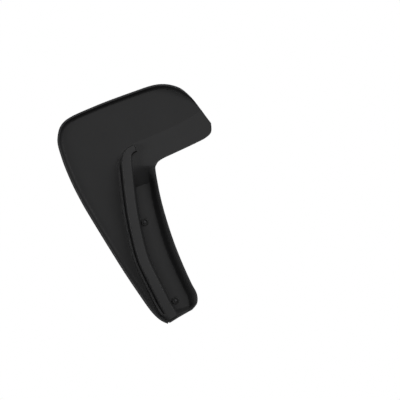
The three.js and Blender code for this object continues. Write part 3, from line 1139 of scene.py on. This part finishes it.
    def drill_bit(self, x: float, z: float) -> bpy.types.Object:
        """Turn the shape that one rivet hole takes away, with a small chamfer at the rear.

        Args:
            x: the hole's place.
            z: the hole's place.

        Returns:
            The shape as an object.
        """
        mesh = bpy.data.meshes.new("drill")
        work = bmesh.new()
        hole = self.hole_radius
        mouth = hole + self.hole_chamfer
        profile = ((0.0, -9.0), (hole, -9.0), (hole, -0.5), (mouth, 0.6), (mouth, 6.0), (0.0, 6.0))
        verts = [work.verts.new((r * MM, y * MM, 0)) for r, y in profile]
        edges = [work.edges.new(pair) for pair in zip(verts, verts[1:])]
        bmesh.ops.spin(
            work, geom=verts + edges, cent=(0, 0, 0), axis=(0, 1, 0), angle=2 * math.pi, steps=48)
        bmesh.ops.remove_doubles(work, verts=work.verts, dist=WELD)
        bmesh.ops.recalc_face_normals(work, faces=work.faces)
        bmesh.ops.translate(work, verts=work.verts, vec=(x * MM, 0, z * MM))
        work.to_mesh(mesh)
        work.free()
        return link_mesh("drill", mesh)

    def drill(self, flap: bpy.types.Object) -> None:
        """Cut the two rivet holes.

        Args:
            flap: the moulding's object, whose mesh is replaced.
        """
        for x, z in self.rivet_holes:
            cutter = self.drill_bit(x, z)
            modifier = flap.modifiers.new("hole", "BOOLEAN")
            modifier.operation = "DIFFERENCE"
            modifier.solver = "EXACT"
            modifier.object = cutter
            flap.data = applied(flap, modifier)
            discard(cutter)

    def build(self) -> bpy.types.Object:
        """Make and dress the moulding.

        Returns:
            The moulding's object.
        """
        flap = link_mesh("grained_flap", self.skin())
        self.drill(flap)
        flap.data.materials.clear()
        flap.data.materials.append(Finish.MOULDED.material())
        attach(flap, "root")
        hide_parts("flap_moulding")
        return flap


# ------------------------------------------------------------------------------ seal and rivets


@dataclass
class Sweeper:
    """Carries profiles along rails with the sweep tree."""

    tree: bpy.types.NodeTree = field(default_factory=sweep_tree)

    def sweep(
        self,
        name: str,
        rail: list[dict[str, object]],
        profile: list[tuple[float, float]],
        finish: Finish,
    ) -> bpy.types.Mesh:
        """Sweep a profile.

        Args:
            name: the mesh's name.
            rail: one row for each place, with point, across, foot and rise, in metres.
            profile: the corners to carry, closed by repeating the first one.
            finish: the surface's finish.

        Returns:
            The swept mesh.
        """
        kinds = {"across": "FLOAT_VECTOR", "foot": "FLOAT", "rise": "FLOAT"}
        columns = {key: (kind, [row[key] for row in rail]) for key, kind in kinds.items()}
        rail_row = point_row(name + "_rail", [row["point"] for row in rail], columns)
        profile_row = point_row(name + "_profile", [Vector((x, y, 0)) for x, y in profile])
        mesh = run_tree(rail_row, self.tree, {
            "Profile": profile_row, "Rail points": len(rail), "Profile points": len(profile),
            "Material": finish.material()})
        discard(rail_row, profile_row)
        mesh.name = name
        tidy_mesh(mesh, 2 * WELD)
        return mesh


@dataclass
class EdgeSeal:
    """The rubber strip that stands in the slot and bears on the fender lip."""

    moulding: Moulding
    sweeper: Sweeper
    start: float = 2.9
    stop: float = 11.6
    width: float = 4.6
    inset: float = 7.5
    top_y: float = -22.0
    low_rise: float = 4.0
    full_from: float = 4.6
    start_rounding: float = 0.06     # along the band
    stop_rounding: float = 0.08
    end_height: float = 0.8
    clearance: float = 0.3

    def profile(self) -> list[tuple[float, float]]:
        """Draw the strip's outline: a foot, a grooved flank and a round bulb on top.

        Returns:
            The outline, closed, in shares of half the strip's width and of its height.
        """
        flank = [(1.0, 0.0), (1.0, 0.14), (0.82, 0.2), (0.82, 0.44), (0.96, 0.52)]
        angles = [math.pi * step / 16 for step in range(9)]
        right = flank + [(0.97 * math.cos(angle), 0.72 + 0.28 * math.sin(angle)) for angle in angles]
        left = [(-x, y) for x, y in reversed(right[:-1])]
        return right + left + [right[0]]

    def rail(self) -> list[dict[str, object]]:
        """Lay the strip's run along the slot, drawn in to a round at each end.

        Returns:
            One row for each place, in metres.
        """
        places = stretches([
            (self.start, 0), (self.start + self.start_rounding, 6), (8, 80),
            (self.stop - self.stop_rounding, 90), (self.stop, 6)])
        rows = []
        for u in places:
            near_end = min(
                (u - self.start) / self.start_rounding, (self.stop - u) / self.stop_rounding, 1.0)
            fullness = math.sqrt(max(1 - (1 - near_end) ** 2, 0.0))
            middle = self.inset - self.moulding.half(u)
            point = self.moulding.spine.beside(u, middle)
            outward = self.moulding.spine.beside(u, middle + 1) - point
            foot = self.moulding.crest(u) + self.moulding.wall + self.clearance
            top = lerp(foot + self.low_rise, self.top_y, smoothstep(u, self.start, self.full_from))
            rise = (top - foot) * lerp(self.end_height, 1, fullness)
            rows.append({
                "point": Vector((point.x, 0, point.y)) * MM,
                "across": Vector((outward.x, 0, outward.y)) * (self.width / 2 * fullness * MM),
                "foot": foot * MM,
                "rise": rise * MM,
            })
        return rows

    def build(self) -> bpy.types.Object:
        """Make and dress the strip.

        Returns:
            The strip's object.
        """
        mesh = self.sweeper.sweep("edge_seal_strip", self.rail(), self.profile(), Finish.SEAL)
        strip = link_mesh("edge_seal_strip", mesh)
        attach(strip, "root")
        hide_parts("fender_edge_seal")
        return strip


@dataclass
class PushRivet:
    """A two-piece push rivet: a body with split legs and a centre pin that slides in it."""

    place: str
    centre: Vector
    sweeper: Sweeper
    slitter: bpy.types.NodeTree
    face_y: float = -3.3             # rear of the head
    head_radius: float = 7.5
    head_thick: float = 2.4
    head_bevel: float = 1.5
    head_slope: float = 1.1
    recess_radius: float = 5.2
    recess_draft: float = 0.5
    recess_depth: float = 4.0
    shank_radius: float = 5.4
    barb_radius: float = 6.1
    shank_end: float = 13.0
    slits: int = 2                   # they cross, so there are four legs
    slit_width: float = 1.2
    slit_span: float = 30.0
    slit_start: float = 1.5
    slit_depth: float = 13.0
    bore_radius: float = 2.1
    pin_radius: float = 1.8
    pin_head_radius: float = 2.4
    pin_sunk: float = 0.6
    clearance: float = 0.3
    facets: int = 56

    def rail(self) -> list[dict[str, object]]:
        """Lay the rail that turns a half outline round the rivet's axis.

        Returns:
            One row for each facet, in metres, closed by repeating the first.
        """
        rows = []
        for step in range(self.facets + 1):
            angle = 2 * math.pi * (step % self.facets) / self.facets
            rows.append({
                "point": self.centre * MM,
                "across": Vector((math.cos(angle), 0, math.sin(angle))) * MM,
                "foot": 0.0,
                "rise": MM,
            })
        return rows

    @staticmethod
    def softened(
        corners: list[tuple[float, float, float]], steps: int = 4, share_of_side: float = 0.48,
    ) -> list[tuple[float, float]]:
        """Round the corners of a profile that is closed or runs from axis to axis.

        Args:
            corners: (radius from the axis, y, rounding) for each corner.
            steps: points that a rounded corner gets.
            share_of_side: the most of a side that a rounding takes.

        Returns:
            The profile's points.
        """
        points = []
        closed = corners[0][0] > 0
        count = len(corners)
        for index, (r, y, rounding) in enumerate(corners):
            here = Vector((r, y))
            if rounding == 0 or (not closed and index in (0, count - 1)):
                points.append((r, y))
                continue
            before = Vector(corners[index - 1][:2]) - here
            after = Vector(corners[(index + 1) % count][:2]) - here
            start = here + before.normalized() * min(rounding, before.length * share_of_side)
            end = here + after.normalized() * min(rounding, after.length * share_of_side)
            for step in range(steps):
                share = step / (steps - 1)
                point = start * (1 - share) ** 2 + here * (2 * share * (1 - share)) + end * share**2
                points.append((point.x, point.y))
        if closed:
            points.append(points[0])
        return points

    @property
    def front_y(self) -> float:
        """Return the y of the head's front."""
        return self.face_y - self.head_thick

    @property
    def pin_front_y(self) -> float:
        """Return the y of the pin's front, a little below the head's."""
        return self.front_y + self.pin_sunk

    def body_profile(self) -> list[tuple[float, float]]:
        """Draw the body's half outline: bore, recess, head and shank with barbs.

        Returns:
            The closed outline, as (radius, y) points.
        """
        face = self.face_y
        front = self.front_y
        floor = front + self.recess_depth
        shank = self.shank_radius
        return self.softened([
            (self.bore_radius, self.shank_end, 0.2), (self.bore_radius, floor, 0.25),
            (self.recess_radius - self.recess_draft, floor, 0.3), (self.recess_radius, front, 0.35),
            (self.head_radius - self.head_slope, front, 0.5),
            (self.head_radius, front + self.head_bevel, 0.6),
            (self.head_radius, face, 0.2), (shank, face, 0.2), (shank, 2.6, 0.6),
            (self.barb_radius, 5.4, 0.8), (self.barb_radius, 6.6, 0.6),
            (shank - 1.2, self.shank_end, 0.4),
        ])

    def pin_profile(self) -> list[tuple[float, float]]:
        """Draw the pin's half outline: domed head, shaft and narrowed tip.

        Returns:
            The outline from axis to axis, as (radius, y) points.
        """
        front = self.pin_front_y
        seat = self.front_y + self.recess_depth - self.clearance
        return self.softened([
            (0, front, 0), (self.pin_head_radius * 0.62, front + 0.12, 0.8),
            (self.pin_head_radius, front + 0.75, 0.5), (self.pin_head_radius, seat, 0.15),
            (self.pin_radius, seat, 0.1), (self.pin_radius, self.shank_end - 1.5, 0.5),
            (self.pin_radius - 0.9, self.shank_end + 1, 0.4), (0, self.shank_end + 1, 0),
        ])

    def body_painted_shade(self, place: Vector) -> float:
        """Paint shade on the body inside the recess and on its mouth.

        Args:
            place: a point of the body, in millimetres.

        Returns:
            How light the body is painted there, dark with painted shade in the recess.
        """
        from_axis = math.hypot(place.x - self.centre.x, place.z - self.centre.z)
        inside = smoothstep(from_axis, self.recess_radius + 1.0, self.recess_radius + 0.2)
        return lerp(PaintedShading.NYLON.value, PaintedShading.RECESS_SHADE.value, inside)

    def pin_painted_shade(self, place: Vector) -> float:
        """Return how light the pin is painted at `place`: painted shade below the head's dome."""
        below = smoothstep(place.y, self.pin_front_y + 0.5, self.pin_front_y + 1.5)
        return lerp(PaintedShading.NYLON.value, PaintedShading.RECESS_SHADE.value, below)

    def build(self) -> list[bpy.types.Object]:
        """Make and dress the rivet's two pieces.

        Returns:
            The body and the pin.
        """
        turned = self.sweeper.sweep(
            f"{self.place}_rivet_legs", self.rail(), self.body_profile(), Finish.RIVET)
        blank = link_mesh(f"{self.place}_rivet_blank", turned)
        sawn = run_tree(blank, self.slitter, {
            "Slits": self.slits, "Width": self.slit_width * MM, "Span": self.slit_span * MM,
            "Start": self.slit_start * MM, "Depth": self.slit_depth * MM,
            "Centre": tuple(self.centre * MM), "Material": Finish.RIVET.material()})
        discard(blank)
        tidy_mesh(sawn)
        # painted shade in the recess and on its mouth
        store_painted_shading(sawn, self.body_painted_shade)
        legs = link_mesh(f"{self.place}_rivet_legs", sawn)
        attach(legs, "root")
        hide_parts(f"{self.place}_rivet_body")
        pin_mesh = self.sweeper.sweep(
            f"{self.place}_centre_pin", self.rail(), self.pin_profile(), Finish.PIN)
        # painted shade below the pin's dome
        store_painted_shading(pin_mesh, self.pin_painted_shade)
        pin = link_mesh(f"{self.place}_centre_pin", pin_mesh)
        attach(pin, f"{self.place}_pin")
        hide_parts(f"{self.place}_rivet_pin")
        return [legs, pin]


# ------------------------------------------------------------------------------ studio


@dataclass
class Softbox:
    """A square area light that looks at the flap.

    Its bearing is two angles in degrees: how far it stands off the way to the camera, and which
    way, counted from the picture's right round to its top.
    """

    name: str
    bearing: tuple[float, float]
    size: float
    power: float
    distance: float = 4.5

    def build(self, target: Vector, turn: Matrix) -> bpy.types.Object:
        """Hang the light on its bearing and turn it to `target`.

        Args:
            target: what the light looks at.
            turn: the camera's right, up and back as columns.

        Returns:
            The light.
        """
        off, way = (math.radians(angle) for angle in self.bearing)
        aside = Vector((math.cos(way), math.sin(way), 0)) * math.sin(off)
        place = target + turn @ (aside + Vector((0, 0, math.cos(off)))) * self.distance
        lamp = bpy.data.lights.new(self.name, "AREA")
        lamp.shape = "SQUARE"
        lamp.size = self.size
        lamp.energy = self.power
        made = bpy.data.objects.new(self.name, lamp)
        made.location = place
        made.rotation_euler = (target - place).to_track_quat("-Z", "Y").to_euler()
        bpy.context.scene.collection.objects.link(made)
        return made


@dataclass
class Studio:
    """White surround, soft lights, pale floor and the camera."""

    lens: float = 100.0
    sensor: float = 36.0
    view_width: float = 0.8
    roll_degrees: float = 20.0
    aim: tuple[float, float, float] = (-0.1176, -0.025, -0.0886)
    surround: float = 0.015
    backdrop: float = 1.0
    floor_drop: float = 0.9
    floor_radius: float = 1.1
    lights: list[Softbox] = field(default_factory=lambda: [
        Softbox("front_softbox", (0.0, 0.0), 1.6, 46.0),
        Softbox("key_softbox", (60.0, 45.0), 1.6, 78.0),
        Softbox("side_softbox", (65.0, 188.0), 1.6, 44.0),
        Softbox("rear_softbox", (155.0, 60.0), 1.6, 170.0),
        Softbox("rear_side_softbox", (115.0, 200.0), 1.6, 60.0),
    ])

    def world(self) -> None:
        """Light the scene with an even white surround that the camera sees as plain white."""
        world = bpy.data.worlds.new("white_surround")
        world.use_nodes = True
        tree = world.node_tree
        tree.nodes.clear()
        path = tree.nodes.new("ShaderNodeLightPath")
        strength = tree.nodes.new("ShaderNodeMix")
        strength.inputs["A"].default_value = self.surround
        strength.inputs["B"].default_value = self.backdrop
        background = tree.nodes.new("ShaderNodeBackground")
        background.inputs["Color"].default_value = (1, 1, 1, 1)
        out = tree.nodes.new("ShaderNodeOutputWorld")
        tree.links.new(path.outputs["Is Camera Ray"], strength.inputs["Factor"])
        tree.links.new(strength.outputs["Result"], background.inputs["Strength"])
        tree.links.new(background.outputs["Background"], out.inputs["Surface"])
        bpy.context.scene.world = world
        bpy.context.scene.view_settings.view_transform = "Standard"

    def floor(self, lowest: float) -> bpy.types.Object:
        """Lay a round pale floor well below the hanging flap.

        Args:
            lowest: the flap's lowest z.

        Returns:
            The floor's object.
        """
        mesh = bpy.data.meshes.new("pale_floor")
        work = bmesh.new()
        bmesh.ops.create_circle(work, cap_ends=True, radius=self.floor_radius, segments=96)
        bmesh.ops.translate(work, verts=work.verts, vec=(0, 0, lowest - self.floor_drop))
        work.to_mesh(mesh)
        work.free()
        made = link_mesh("pale_floor", mesh)
        graph = ShaderGraph("pale_floor_paint")
        speckle = graph.noise(30.0, 3.0)
        mesh.materials.append(graph.finish({
            "Base Color": graph.tint(speckle, (0.78, 0.78, 0.77), (0.84, 0.84, 0.83)),
            "Roughness": 0.8,
        }))
        made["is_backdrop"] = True
        return made

    def turn(self) -> Matrix:
        """Work out how the camera is turned.

        Returns:
            Its right, up and back as the columns of a matrix.
        """
        roll = math.radians(self.roll_degrees)
        right = Vector((-math.cos(roll), 0, math.sin(roll)))
        up = Vector((-math.sin(roll), 0, -math.cos(roll)))
        return Matrix((right, up, Vector((0, -1, 0)))).transposed()

    def camera(self) -> bpy.types.Object:
        """Set the camera square to the flap's front, rolled as the flap is shown.

        Returns:
            The camera's object.
        """
        lens = bpy.data.cameras.new("camera")
        lens.lens = self.lens
        lens.sensor_width = self.sensor
        made = bpy.data.objects.new("camera", lens)
        bpy.context.scene.collection.objects.link(made)
        turn = self.turn()
        back = turn.col[2] * (self.view_width * self.lens / self.sensor)
        made.matrix_world = Matrix.Translation(Vector(self.aim) + back) @ turn.to_4x4()
        bpy.context.scene.camera = made
        return made

    def build(self, box: tuple) -> None:
        """Build the whole studio.

        Args:
            box: the flap's lowest and highest corners, round which the lights hang.
        """
        self.world()
        target = Vector(((box[0][0] + box[1][0]) / 2, 0, (box[0][2] + box[1][2]) / 2))
        for light in self.lights:
            light.build(target, self.turn())
        self.floor(box[0][2])
        self.camera()


# ------------------------------------------------------------------------------ main


def plain_box(box: tuple) -> list[list[float]]:
    """Return a box as plain lists of numbers."""
    return [[float(value) for value in corner] for corner in box]


def main() -> None:
    """Build the flap's pieces in order, then the studio."""
    logging.basicConfig(level=logging.INFO, format="%(name)s: %(message)s")
    cad_box = plain_box(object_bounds())
    moulding = Moulding()
    moulding.build()
    sweeper = Sweeper()
    EdgeSeal(moulding, sweeper).build()
    slits = slit_tree()
    for place, (x, z) in zip(("upper", "lower"), moulding.rivet_holes):
        for piece in PushRivet(place, Vector((x, 0, z)), sweeper, slits).build():
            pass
    Studio().build(cad_box)


if __name__ == "__main__":
    main()
